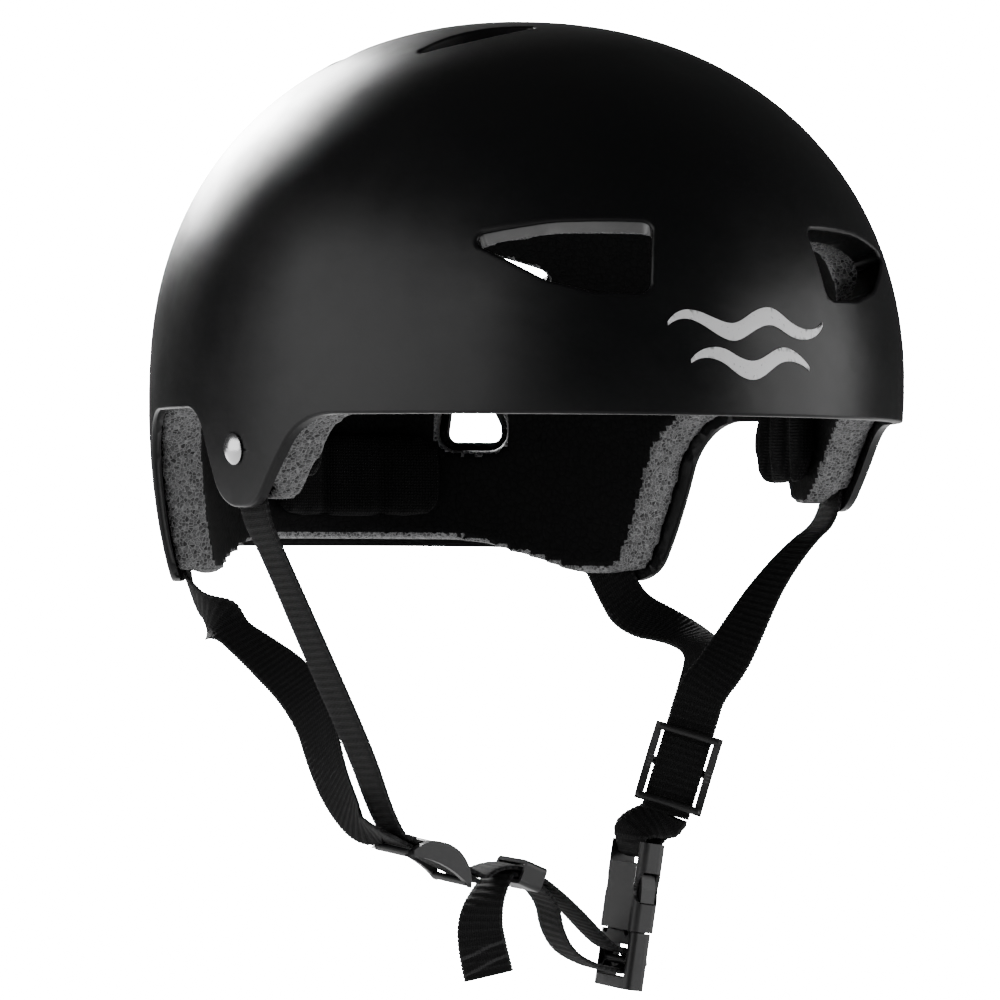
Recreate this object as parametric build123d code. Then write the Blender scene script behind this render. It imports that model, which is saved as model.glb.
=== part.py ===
"""Half-shell water sports helmet with a webbing chin harness.

Frame: +Z up, the front of the helmet faces -Y, the wearer's right is -X.
Origin: centre of the head space, level with the lower edge of the front brim.
All lengths in millimetres, angles in degrees.
"""
from build123d import *
import math
import os

# ---- shell form ----
SHELL_WIDTH = 214.0         # outside, ear to ear
SHELL_LENGTH = 276.0        # outside, front to back
CROWN_RISE = 110.5          # widest level to the crown
SKIRT_DROP = 150.0          # depth at which the skirt would close, sets its tuck-in
SKIRT_CUT = 95.0            # how far down the dome solid is carried before it is trimmed
WIDEST_LEVEL = 11.0         # height of the widest level at mid length
REAR_LIFT = 4.1             # the dome leans forward by this angle
PATTERN_WIDTH = 214.0       # outline, rivets and harness are set out on a shell of this size,
PATTERN_LENGTH = 276.0      # and keep their places in proportion on a shell of another size
ACROSS = SHELL_WIDTH / PATTERN_WIDTH
ALONG = SHELL_LENGTH / PATTERN_LENGTH
FULLNESS = 2.15             # 2 is an ellipse, more is squarer
SHELL_WALL = 3.0
LINER_GAP = 0.3
LINER_WALL = 13.0
PAD_GAP = 0.3
PAD_THICKNESS = 7.5
BROW_PAD = (118.0, 27.0, 10.0, 20.0)      # width, height, corner, height of its middle
NAPE_PAD = (62.0, 30.0, 11.0, -16.0)
TEMPLE_PAD = (36.0, 40.0, 11.0, 1.0)
TEMPLE_PAD_Y = -17.0
CROWN_PAD = (50.0, 56.0, 20.0)            # width, length, corner
CROWN_PAD_Y = 20.0
PAD_START = 30.0            # the pads are cut out of their layer from this far in

# ---- side outline of the lower edge ----
BRIM_END_Y = -53.0 * ALONG  # where the straight brim turns down to the temple lobe
TEMPLE_FRONT_Y = -30.0 * ALONG
TEMPLE_REAR_Y = -12.0 * ALONG
TEMPLE_DROP = 26.5
ARCH_FRONT_Y = -0.5 * ALONG
ARCH_REAR_Y = 53.0 * ALONG
ARCH_RISE = 2.4
LOBE_FRONT_Y = 62.5 * ALONG
LOBE_REAR_Y = 80.0 * ALONG
LOBE_DROP = 50.0
NAPE_Y = 108.0 * ALONG
NAPE_DROP = 39.5
LINER_INSET = 2.5           # foam stops this far inside the shell's edge
BRIM_RADIUS = 24.0 * ALONG
TEMPLE_RADIUS = 12.5 * ALONG
ARCH_FRONT_RADIUS = 12.0 * ALONG
ARCH_REAR_RADIUS = 20.0 * ALONG
LOBE_RADIUS = 9.0 * ALONG
NAPE_RADIUS = 26.0 * ALONG

# ---- vents ----
VENT_COLLAR_WALL = 1.8      # shell material turned inward round a vent
VENT_COLLAR_DEPTH = 8.0
VENT_LINER_CLEARANCE = 1.0
EDGE_ROUNDING = 1.0         # on the shell's outer edges, round the vents and along the rim
FRONT_VENT_ANGLE = 22.0     # from straight ahead
FRONT_VENT_HEIGHT = 45.5
REAR_VENT_ANGLE = 27.5      # from straight behind
REAR_VENT_HEIGHT = 55.5
NAPE_VENT_ANGLE = 22.0
NAPE_VENT_HEIGHT = 4.0
CROWN_VENT_LENGTH = 43.0
CROWN_VENT_WIDTH = 17.0
CROWN_FRONT_VENT = (33.5, -34.5, 11.0)    # x, y, and how far its rear end turns outward
CROWN_REAR_VENT = (42.0, 26.0, -35.0)

# ---- webbing and rivets ----
WEB_WIDTH = 15.0
WEB_THICKNESS = 1.4
WEB_GAP = 0.7               # between the webbing and the shell
LAYER_GAP = 0.4             # between two layers of webbing
GROOVE_SIDE_CLEARANCE = 1.2
GROOVE_DEPTH = 4.5
GROOVE_END_CLEARANCE = 2.0
RIVET_HEAD_RADIUS = 4.8
RIVET_HEAD_HEIGHT = 2.2
RIVET_SHANK_RADIUS = 1.9
RIVET_HOLE_CLEARANCE = 0.25
RIVET_TAIL_RADIUS = 3.4
RIVET_TAIL_HEIGHT = 1.0
WASHER_RADIUS = 6.0
WASHER_THICKNESS = 1.0
FIT_GAP = 0.3
POCKET_CLEARANCE = 1.2
TEMPLE_RIVET = (-22.5 * ALONG, -9.7)      # y, z
REAR_RIVET = (98.0 * ALONG, -18.0)
TEMPLE_END = 11.0           # webbing above the temple rivet
WEB_EXIT = 3.0              # the webbing leaves the shell this far below a lobe

# ---- strap hardware ----
DIVIDER_LENGTH = 24.5
DIVIDER_BAR = 2.4
DIVIDER_RAIL = 2.4
DIVIDER_BAR_OFFSET = 3.2    # bar centres stand this far off the webbing's middle plane
DIVIDER_RAIL_HEIGHT = 6.4
SLOT_SIDE_CLEARANCE = 0.7
KEEPER_LENGTH = 7.5
KEEPER_WALL = 1.3
BUCKLE_SIDE = 3.0           # buckle beyond each edge of the webbing
BUCKLE_WIDTH = WEB_WIDTH + 2 * BUCKLE_SIDE
BUCKLE_THICKNESS = 8.6
BUCKLE_CORNER = 2.6
SOCKET_LENGTH = 27.0
SOCKET_WALL = 1.6
SOCKET_BAR = 2.6
SOCKET_SLOT = 4.0
PLUG_GAP = 0.35
PLUG_BASE = 4.0
PLUG_RELIEF = 0.6           # the plug is this much narrower than the sleeve,
PLUG_THINNING = 1.4         # and this much thinner
TONGUE_END = 13.5           # the plug's tongue reaches up to this far below the socket's top
LADDER_SLOT = 3.7
LADDER_BAR = 2.6
LADDER_LIP = 3.4
ARM_PIVOT_X = BUCKLE_WIDTH / 2 - 4.1
ARM_ROOT_RADIUS = 1.1
ARM_TIP = 2.4               # thickness of an arm behind its thumb pad
THUMB_PAD_SLOPE = 0.3
SHOULDER_Z = -18.5          # lower edge of the window that the latch arms rest on
WINDOW_TOP_Z = -9.0
WAIST_DEPTH = 3.6           # centre of the finger scoop beyond the buckle's side
TURN_CLEARANCE = 0.9        # between the webbing and a bar it turns round

# ---- printed waves ----
WAVE_MIDDLE = 20.5
WAVES = ((-25.0, 25.0, 5.0), (-19.0, 19.0, -5.5))    # from, to, height above the middle
WAVE_HEIGHT = 5.2
WAVE_SWELL = 2.4
WAVE_LENGTH = 24.0
INK_LOW, INK_HIGH = 0.05, 0.25            # the ink stands between these heights off the shell

LEAN = math.radians(REAR_LIFT)


# ---------------------------------------------------------------- dome form
def dome(inset):
    """The dome as a solid, its surface moved in by inset."""
    half_length = SHELL_LENGTH / 2 - inset
    crown = CROWN_RISE - inset
    points = []
    for step in range(13):
        angle = math.radians(90 - 7.5 * step)
        radius = math.cos(angle) ** (2 / FULLNESS)
        height = math.sin(angle) ** (2 / FULLNESS)
        points.append((half_length * radius, crown * height))
    for depth in (0.15, 0.3, 0.45, 0.6, 0.8, 1.0):
        drop = depth * SKIRT_CUT
        share = (drop / SKIRT_DROP) ** FULLNESS
        radius = (1 - share) ** (1 / FULLNESS)
        points.append((half_length * radius, -drop))
    slope = half_length * radius * share / (1 - share) / drop
    points[0] = (0, crown)
    profile = Spline(*[Vector(r, 0, z) for r, z in points], tangents=[(1, 0, 0), (-slope, 0, -1)])
    floor_edge = Line(profile @ 1, (0, 0, -SKIRT_CUT))
    axis_edge = Line((0, 0, -SKIRT_CUT), (0, 0, crown))
    face = make_face([profile, floor_edge, axis_edge])
    solid = revolve(face, axis=Axis.Z)
    half_width = SHELL_WIDTH / 2 - inset
    solid = scale(solid, by=(half_width / half_length, 1, 1))
    return Location((0, 0, WIDEST_LEVEL), (REAR_LIFT, 0, 0)) * solid


def dome_x(y, z, inset):
    """Half width of the dome at a given place along it and height."""
    along = y * math.cos(LEAN) + (z - WIDEST_LEVEL) * math.sin(LEAN)
    up = -y * math.sin(LEAN) + (z - WIDEST_LEVEL) * math.cos(LEAN)
    rise = CROWN_RISE - inset if up > 0 else SKIRT_DROP
    radius = (1 - (abs(up) / rise) ** FULLNESS) ** (1 / FULLNESS)
    ratio = along / (SHELL_LENGTH / 2 - inset)
    return (SHELL_WIDTH / 2 - inset) * math.sqrt(radius ** 2 - ratio ** 2)


def dome_y(angle, z, inset, front):
    """Point on the dome at an angle to the side of straight ahead, or of straight behind."""
    turn = math.radians(angle)
    low, high = 0.0, SHELL_LENGTH
    way = -1 if front else 1
    for _ in range(40):
        reach = (low + high) / 2
        y = way * reach * math.cos(turn)
        along = y * math.cos(LEAN) + (z - WIDEST_LEVEL) * math.sin(LEAN)
        up = -y * math.sin(LEAN) + (z - WIDEST_LEVEL) * math.cos(LEAN)
        rise = CROWN_RISE - inset if up > 0 else SKIRT_DROP
        across = reach * math.sin(turn) / (SHELL_WIDTH / 2 - inset)
        total = math.hypot(across, along / (SHELL_LENGTH / 2 - inset)) ** FULLNESS
        total += (abs(up) / rise) ** FULLNESS
        if total < 1:
            low = reach
        else:
            high = reach
    return Vector(reach * math.sin(turn), way * reach * math.cos(turn), z)


def dome_normal(point):
    """Outward normal of the dome near a point on it."""
    y, z = point.Y, point.Z - WIDEST_LEVEL
    along = y * math.cos(LEAN) + z * math.sin(LEAN)
    up = -y * math.sin(LEAN) + z * math.cos(LEAN)
    half_width, half_length = SHELL_WIDTH / 2, SHELL_LENGTH / 2
    rise = CROWN_RISE if up > 0 else SKIRT_DROP
    plan = math.hypot(point.X / half_width, along / half_length)
    push = plan ** (FULLNESS - 2)
    nx = push * point.X / half_width ** 2
    na = push * along / half_length ** 2
    nu = math.copysign((abs(up) / rise) ** (FULLNESS - 1) / rise, up)
    ny = na * math.cos(LEAN) - nu * math.sin(LEAN)
    nz = na * math.sin(LEAN) + nu * math.cos(LEAN)
    return Vector(nx, ny, nz).normalized()


def rounded(points, radii):
    """Flat face with a rounding at each corner."""
    return make_face(FilletPolyline(*points, radius=radii, close=True))


def side_prism(inset):
    """What is kept of the dome, seen from the side: everything above the lower edge."""
    far = SHELL_LENGTH
    points = [
        (-far, 0),
        (BRIM_END_Y, 0),
        (TEMPLE_FRONT_Y, -TEMPLE_DROP),
        (TEMPLE_REAR_Y, -TEMPLE_DROP),
        (ARCH_FRONT_Y, ARCH_RISE),
        (ARCH_REAR_Y, ARCH_RISE),
        (LOBE_FRONT_Y, -LOBE_DROP),
        (LOBE_REAR_Y, -LOBE_DROP),
        (NAPE_Y, -NAPE_DROP),
        (far, -NAPE_DROP),
        (far, far),
        (-far, far),
    ]
    radii = [1, BRIM_RADIUS, TEMPLE_RADIUS, TEMPLE_RADIUS, ARCH_FRONT_RADIUS, ARCH_REAR_RADIUS,
             LOBE_RADIUS, 2 * LOBE_RADIUS, NAPE_RADIUS, 1, 1, 1]
    face = rounded(points, radii)
    if inset:
        face = offset(face, amount=-inset, kind=Kind.ARC)
    prism = extrude(face, amount=SHELL_WIDTH, both=True)
    return Plane.YZ.location * prism


# ---------------------------------------------------------------- vents
def front_vent_face(grow):
    points = [(-22.5, 9.5), (-22.5, -11.8), (-8, -12.2), (6, -8.8), (30, 5), (5, 8.2)]
    face = rounded(points, [3, 3.5, 14, 20, 2.2, 20])
    return offset(face, amount=grow, kind=Kind.ARC) if grow else face


def rear_vent_face(grow):
    points = [(-16, 7), (-16, -6.5), (-8, -6.5), (16, 1), (5, 7)]
    face = rounded(points, [3, 3, 8, 2.2, 10])
    return offset(face, amount=grow, kind=Kind.ARC) if grow else face


def nape_vent_face(grow):
    points = [(-9, 8.5), (-7, -8.8), (3.5, -8.8), (9.5, 3), (9.5, 8.5)]
    face = rounded(points, [3, 5, 6, 5, 3])
    return offset(face, amount=grow, kind=Kind.ARC) if grow else face


def crown_vent_face(grow):
    half, side = CROWN_VENT_LENGTH / 2, CROWN_VENT_WIDTH / 2
    points = [(-half, 0), (0, -side), (half, 0), (0, side)]
    face = rounded(points, [2.4, 30, 2.4, 30])
    return offset(face, amount=grow, kind=Kind.ARC) if grow else face


def vent_places():
    """(face maker, plane) of the vents on the wearer's left side."""
    places = []
    for face, angle, height, front in (
        (front_vent_face, FRONT_VENT_ANGLE, FRONT_VENT_HEIGHT, True),
        (rear_vent_face, REAR_VENT_ANGLE, REAR_VENT_HEIGHT, False),
        (nape_vent_face, NAPE_VENT_ANGLE, NAPE_VENT_HEIGHT, False),
    ):
        point = dome_y(angle, height, 0, front)
        normal = dome_normal(point)
        outward = Vector(0, 0, 1).cross(normal).normalized()
        if outward.X < 0:
            outward = outward * -1
        places.append((face, Plane(origin=point, x_dir=outward, z_dir=normal)))
    for x, y, turn in (CROWN_FRONT_VENT, CROWN_REAR_VENT):
        top = Vector(x, y, WIDEST_LEVEL + 0.93 * CROWN_RISE)
        heading = Vector(math.cos(math.radians(turn)), math.sin(math.radians(turn)), 0)
        normal = dome_normal(top)
        normal = (normal + Vector(0, 0, 1)).normalized()
        heading = heading - normal * heading.dot(normal)
        places.append((crown_vent_face, Plane(origin=top, x_dir=heading, z_dir=normal)))
    return places


def vent_prisms(grow):
    """Straight prisms through every vent, both sides."""
    prisms = []
    for face, plane in vent_places():
        prism = plane.location * extrude(face(grow), amount=30, both=True)
        prisms.append(prism)
        prisms.append(mirror(prism, about=Plane.YZ))
    return prisms


# ---------------------------------------------------------------- webbing
def square_to(across, along):
    return (across - along * across.dot(along)).normalized()


def web_section(points, i, across, width, thickness):
    before = points[max(i - 1, 0)]
    after = points[min(i + 1, len(points) - 1)]
    along = (after - before).normalized()
    plane = Plane(origin=points[i], x_dir=square_to(across, along), z_dir=along)
    return (plane.location * Rectangle(width, thickness)).face()


def webbing(route, width=WEB_WIDTH, thickness=WEB_THICKNESS):
    """Flat webbing along a route of (point, direction across the webbing)."""
    points = [Vector(*p) for p, _ in route]
    sections = []
    for i, (_, across) in enumerate(route):
        sections.append(web_section(points, i, Vector(*across), width, thickness))
    return Solid.make_loft([s.outer_wire() for s in sections], ruled=True)


def inner_route(places, side, inset):
    """Webbing held between shell and foam, at (y, z) places down the inside of the shell."""
    points = [Vector(side * dome_x(y, z, inset), y, z) for y, z in places]
    route = []
    for i, point in enumerate(points):
        along = points[min(i + 1, len(points) - 1)] - points[max(i - 1, 0)]
        across = along.cross(dome_normal(point)).normalized()
        if across.Y > 0:
            across = across * -1
        route.append((tuple(point), tuple(across)))
    return route


TEMPLE_WEB = [
    (TEMPLE_RIVET[0], TEMPLE_RIVET[1] + TEMPLE_END),
    TEMPLE_RIVET,
    (TEMPLE_RIVET[0], -TEMPLE_DROP - WEB_EXIT + 0.5),
]
REAR_EXIT = (73.0 * ALONG, -LOBE_DROP - WEB_EXIT)
REAR_WEB = [
    (REAR_RIVET[0] + 6.5, REAR_RIVET[1] + 8),
    REAR_RIVET,
    ((REAR_RIVET[0] + REAR_EXIT[0]) / 2, (REAR_RIVET[1] + REAR_EXIT[1]) / 2),
    REAR_EXIT,
]
WEB_INSET = SHELL_WALL + WEB_GAP + WEB_THICKNESS / 2
LAYER = (WEB_THICKNESS + LAYER_GAP) / 2

# ---- where the hardware hangs, and the way the webbing runs through it ----
RIGHT_DIVIDER = Vector(-42.0 * ACROSS, -24.0 * ALONG, -128.5)
RIGHT_RUN = Vector(0.90, 0.10, -0.42).normalized()
RIGHT_ACROSS = square_to(Vector(0, -1, 0), RIGHT_RUN)
RIGHT_UP = RIGHT_ACROSS.cross(RIGHT_RUN)
LEFT_DIVIDER = Vector(45.0 * ACROSS, -22.0 * ALONG, -105.0)
LEFT_RUN = Vector(-0.24, 0.14, -0.96).normalized()
LEFT_ACROSS = square_to(Vector(0.81, -0.47, -0.30), LEFT_RUN)
LEFT_UP = LEFT_RUN.cross(LEFT_ACROSS)
KEEPER = Vector(-10.0 * ACROSS, -22.0 * ALONG, -135.5)
KEEPER_RUN = Vector(0.92, 0.0, -0.39).normalized()
KEEPER_ACROSS = Vector(0, -1, 0)
KEEPER_UP = KEEPER_ACROSS.cross(KEEPER_RUN)
BUCKLE_TOP = Vector(33.5 * ACROSS, -18.0 * ALONG, -127.5)
BUCKLE_UP = Vector(0.15, 0.0, 0.989).normalized()
BUCKLE = Plane(origin=BUCKLE_TOP, x_dir=(0, 1, 0), z_dir=BUCKLE_UP)


def hung(x, y, z):
    """A point of the harness, kept in proportion to the shell."""
    return (x * ACROSS, y * ALONG, z)


def at_right_divider(run, up):
    return tuple(RIGHT_DIVIDER + RIGHT_RUN * run + RIGHT_UP * up)


def at_left_divider(run, up):
    return tuple(LEFT_DIVIDER + LEFT_RUN * run + LEFT_UP * up)


def at_keeper(run, up):
    return tuple(KEEPER + KEEPER_RUN * run + KEEPER_UP * up)


def at_buckle(y, z):
    return tuple(BUCKLE.from_local_coords(Vector(0, y, z)))


RUN_BEFORE = 17.0           # straight, stacked webbing above the right divider's middle
RUN_ABOVE = 25.0            # the same above the left divider's middle
RUN_BELOW = 14.5            # the same below the left divider's middle
SEWN_END = 17.0             # where the rear webbing ends, sewn under the chin webbing

BACK_AXIS = (0, -1, 0)


def front_right_route():
    return inner_route(TEMPLE_WEB, -1, WEB_INSET) + [
        (hung(-93, -23, -TEMPLE_DROP - 12), (0.05, -1, 0.05)),
        (hung(-78.5, -23.5, -68.5), (0.10, -1, 0.08)),
        (hung(-64, -24.5, -98.5), (0.10, -1, 0.08)),
        (hung(-58.5, -25, -113.5), tuple(RIGHT_ACROSS)),
        (at_right_divider(-RUN_BEFORE + 3, LAYER), tuple(RIGHT_ACROSS)),
        (at_right_divider(-0.5, LAYER), tuple(RIGHT_ACROSS)),
    ]


def rear_right_route():
    return inner_route(REAR_WEB, -1, WEB_INSET) + [
        (hung(-72, 64, -LOBE_DROP - 11), (0.50, -0.65, -0.50)),
        (hung(-63, 50, -LOBE_DROP - 21), (0.65, -0.65, -0.40)),
        (hung(-57, 36, -80.5), (0.55, -0.80, -0.20)),
        (hung(-57, 22, -89), (0.35, -0.93, 0.10)),
        (hung(-60.5, 9, -99.5), (0.20, -0.96, 0.20)),
        (hung(-62.5, -4, -110), (0.10, -0.98, 0.20)),
        (hung(-61.5, -16, -119.5), (0.0, -1, 0.10)),
        (at_right_divider(-RUN_BEFORE, -LAYER), tuple(RIGHT_ACROSS)),
        (at_right_divider(SEWN_END, -LAYER), tuple(RIGHT_ACROSS)),
    ]


def front_left_route():
    return inner_route(TEMPLE_WEB, 1, WEB_INSET) + [
        (hung(88, -22.5, -TEMPLE_DROP - 9.5), (0.05, -1, 0.05)),
        (hung(76, -22.5, -TEMPLE_DROP - 22.5), (0.20, -0.95, -0.05)),
        (hung(67, -23.5, -62), (0.45, -0.85, -0.20)),
        (hung(59, -25, -73.5), (0.70, -0.60, -0.30)),
        (at_left_divider(-RUN_ABOVE, LAYER), tuple(LEFT_ACROSS)),
        (at_left_divider(RUN_BELOW, LAYER), tuple(LEFT_ACROSS)),
    ]


def rear_left_route():
    return inner_route(REAR_WEB, 1, WEB_INSET) + [
        (hung(77, 63, -LOBE_DROP - 10.5), (0.68, -0.50, 0.52)),
        (hung(84, 49, -LOBE_DROP - 15), (0.85, -0.25, 0.40)),
        (hung(83, 31, -LOBE_DROP - 19), (0.93, -0.20, 0.15)),
        (hung(75, 11, -LOBE_DROP - 22.5), (0.92, -0.30, -0.05)),
        (hung(62.5, -9, -76.5), (0.88, -0.40, -0.20)),
        (at_left_divider(-RUN_ABOVE, -LAYER), tuple(LEFT_ACROSS)),
        (at_left_divider(RUN_BELOW, -LAYER), tuple(LEFT_ACROSS)),
    ]


SOCKET_BAR_Z = -SOCKET_BAR / 2
SOCKET_TURN = SOCKET_BAR / 2 + TURN_CLEARANCE + WEB_THICKNESS / 2


def socket_loop_route():
    """Down the near side of the socket's bar, round it and back up the far side."""
    near = (0.40, -0.85, -0.15)
    return [
        (at_left_divider(RUN_BELOW, LAYER), tuple(LEFT_ACROSS)),
        (at_left_divider(RUN_BELOW + 1.2, LAYER), tuple(LEFT_ACROSS)),
        (at_buckle(3.2, 4.5), near),
        (at_buckle(SOCKET_TURN, SOCKET_BAR_Z), BACK_AXIS),
        (at_buckle(0.7 * SOCKET_TURN, SOCKET_BAR_Z - 0.7 * SOCKET_TURN), BACK_AXIS),
        (at_buckle(0, SOCKET_BAR_Z - SOCKET_TURN), BACK_AXIS),
        (at_buckle(-0.7 * SOCKET_TURN, SOCKET_BAR_Z - 0.7 * SOCKET_TURN), BACK_AXIS),
        (at_buckle(-SOCKET_TURN, SOCKET_BAR_Z), BACK_AXIS),
        (at_buckle(-3.6, 4.5), near),
        (at_left_divider(RUN_BELOW + 1.2, -LAYER), tuple(LEFT_ACROSS)),
        (at_left_divider(RUN_BELOW, -LAYER), tuple(LEFT_ACROSS)),
    ]


LADDER_TOP = -SOCKET_LENGTH - PLUG_GAP - PLUG_BASE
LADDER_BAR_Z = LADDER_TOP - LADDER_SLOT - LADDER_BAR / 2
LADDER_END = LADDER_TOP - 2 * LADDER_SLOT - LADDER_BAR - LADDER_LIP
TURN = (LADDER_SLOT + LADDER_BAR) / 2
TURN_Y = -1.2


def chin_route():
    """From the right divider through the keeper and halfway round the plug's bar."""
    high = LADDER_BAR_Z + TURN
    return [
        (at_right_divider(-0.5, LAYER), tuple(RIGHT_ACROSS)),
        (at_right_divider(SEWN_END + 1.5, LAYER), tuple(RIGHT_ACROSS)),
        (hung(-21, -22.2, -133.2), BACK_AXIS),
        (at_keeper(-5.5, LAYER), BACK_AXIS),
        (at_keeper(5.5, LAYER), BACK_AXIS),
        (hung(7, -20.5, -145.5), BACK_AXIS),
        (at_buckle(9.5, high + 2.2), BACK_AXIS),
        (at_buckle(4.6, high - 0.1), BACK_AXIS),
        (at_buckle(TURN_Y, high), BACK_AXIS),
        (at_buckle(TURN_Y - 0.7 * TURN, LADDER_BAR_Z + 0.7 * TURN), BACK_AXIS),
        (at_buckle(TURN_Y - TURN, LADDER_BAR_Z + 0.4), BACK_AXIS),
        (at_buckle(TURN_Y - TURN, LADDER_BAR_Z), BACK_AXIS),
    ]


def tail_route():
    """On round the plug's bar, back up through the keeper, and down to the loose end."""
    low = LADDER_BAR_Z - TURN
    return [
        (at_buckle(TURN_Y - TURN, LADDER_BAR_Z), BACK_AXIS),
        (at_buckle(TURN_Y - TURN, LADDER_BAR_Z - 0.4), BACK_AXIS),
        (at_buckle(TURN_Y - 0.7 * TURN, LADDER_BAR_Z - 0.7 * TURN), BACK_AXIS),
        (at_buckle(TURN_Y, low), BACK_AXIS),
        (at_buckle(6, low - 0.1), BACK_AXIS),
        (hung(14, -19.5, -163.5), BACK_AXIS),
        (hung(6.5, -20, -159.5), BACK_AXIS),
        (hung(2, -20.5, -152.5), BACK_AXIS),
        (hung(0.3, -21.2, -145), BACK_AXIS),
        (at_keeper(5.6, -LAYER - 0.6), BACK_AXIS),
        (at_keeper(0, -LAYER), BACK_AXIS),
        (at_keeper(-6.0, -LAYER - 0.3), BACK_AXIS),
        (hung(-20, -23, -139), (0.25, -0.97, 0.05)),
        (hung(-24, -24.5, -145.5), (0.55, -0.80, 0.22)),
        (hung(-25.2, -26, -154), (0.62, -0.60, 0.45)),
        (hung(-22.5, -27, -165), (0.62, -0.42, 0.66)),
    ]


# ---------------------------------------------------------------- rivets
def rivet_plane(place, side):
    y, z = place
    point = Vector(side * dome_x(y, z, 0), y, z)
    return Plane(origin=point, x_dir=(0, 0, 1), z_dir=dome_normal(point))


WASHER_TOP = -(SHELL_WALL + WEB_GAP + WEB_THICKNESS + FIT_GAP)


def cylinder_between(radius, low, high):
    return Location((0, 0, (low + high) / 2)) * Cylinder(radius, high - low)


def rivet(plane):
    """Domed head, shank through the shell and webbing, clenched tail."""
    ball = (RIVET_HEAD_RADIUS ** 2 + RIVET_HEAD_HEIGHT ** 2) / (2 * RIVET_HEAD_HEIGHT)
    rest = 0.2
    dome_cap = Location((0, 0, rest + RIVET_HEAD_HEIGHT - ball)) * Sphere(ball)
    head = dome_cap & cylinder_between(RIVET_HEAD_RADIUS + 1, rest, rest + 2 * RIVET_HEAD_HEIGHT)
    tail_top = WASHER_TOP - WASHER_THICKNESS - 0.1
    shank = cylinder_between(RIVET_SHANK_RADIUS, tail_top - RIVET_TAIL_HEIGHT / 2, rest + 0.5)
    tail = cylinder_between(RIVET_TAIL_RADIUS, tail_top - RIVET_TAIL_HEIGHT, tail_top)
    return plane.location * (head + shank + tail)


def washer(plane):
    ring = cylinder_between(WASHER_RADIUS, WASHER_TOP - WASHER_THICKNESS, WASHER_TOP)
    ring -= cylinder_between(RIVET_SHANK_RADIUS + RIVET_HOLE_CLEARANCE, WASHER_TOP - 3, WASHER_TOP + 3)
    return plane.location * ring


def rivet_hole(plane):
    return plane.location * cylinder_between(RIVET_SHANK_RADIUS + RIVET_HOLE_CLEARANCE, -12, 4)


def washer_pocket(plane):
    bottom = WASHER_TOP - WASHER_THICKNESS - RIVET_TAIL_HEIGHT - POCKET_CLEARANCE
    return plane.location * cylinder_between(WASHER_RADIUS + POCKET_CLEARANCE, bottom, 0)


RIVETS = {
    "temple_rivet_right": rivet_plane(TEMPLE_RIVET, -1),
    "temple_rivet_left": rivet_plane(TEMPLE_RIVET, 1),
    "rear_rivet_right": rivet_plane(REAR_RIVET, -1),
    "rear_rivet_left": rivet_plane(REAR_RIVET, 1),
}


# ---------------------------------------------------------------- shell, liner, pads
def form_value(point):
    """1 on the outer dome, less inside it."""
    y, z = point.Y, point.Z - WIDEST_LEVEL
    along = y * math.cos(LEAN) + z * math.sin(LEAN)
    up = -y * math.sin(LEAN) + z * math.cos(LEAN)
    rise = CROWN_RISE if up > 0 else SKIRT_DROP
    plan = math.hypot(point.X / (SHELL_WIDTH / 2), along / (SHELL_LENGTH / 2))
    return plan ** FULLNESS + (abs(up) / rise) ** FULLNESS


def outer_edges(shell):
    """Every edge of the shell that lies on the outside of the dome."""
    edges = []
    for edge in shell.edges():
        if all(abs(form_value(edge @ share) - 1) < 0.004 for share in (0.1, 0.5, 0.9)):
            edges.append(edge)
    return edges


def outer_shell():
    solid = dome(0)
    wall = solid - dome(SHELL_WALL)
    collar_zone = solid - dome(VENT_COLLAR_DEPTH)
    collars = [prism & collar_zone for prism in vent_prisms(VENT_COLLAR_WALL)]
    shell = wall & side_prism(0)
    for collar in collars:
        shell += collar
    for prism in vent_prisms(0):
        shell -= prism
    shell = fillet(outer_edges(shell), EDGE_ROUNDING)
    for plane in RIVETS.values():
        shell -= rivet_hole(plane)
    return shell


def beyond(start, end, reach):
    """The point past end by reach, in line with start."""
    share = reach / math.dist(start, end)
    return tuple(b + (b - a) * share for a, b in zip(start, end))


def groove(places, side):
    """Channel in the foam behind a strap end."""
    inset = SHELL_WALL + GROOVE_DEPTH / 2 - 0.4
    above = beyond(places[1], places[0], GROOVE_END_CLEARANCE)
    below = beyond(places[-2], places[-1], 4 * GROOVE_END_CLEARANCE)
    route = inner_route([above] + places[1:] + [below], side, inset)
    return webbing(route, WEB_WIDTH + 2 * GROOVE_SIDE_CLEARANCE, GROOVE_DEPTH + 0.8)


def foam_liner():
    liner = dome(SHELL_WALL + LINER_GAP) - dome(SHELL_WALL + LINER_GAP + LINER_WALL)
    liner &= side_prism(LINER_INSET)
    for prism in vent_prisms(VENT_COLLAR_WALL + VENT_LINER_CLEARANCE):
        liner -= prism
    for side in (-1, 1):
        liner -= groove(TEMPLE_WEB, side)
        liner -= groove(REAR_WEB, side)
    for plane in RIVETS.values():
        liner -= washer_pocket(plane)
    return liner


PAD_OUT = SHELL_WALL + LINER_GAP + LINER_WALL + PAD_GAP


def pad_layer():
    return dome(PAD_OUT) - dome(PAD_OUT + PAD_THICKNESS)


def pad(layer, plane, width, height, corner, reach):
    block = plane.location * extrude(RectangleRounded(width, height, corner), amount=reach)
    return layer & block


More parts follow.
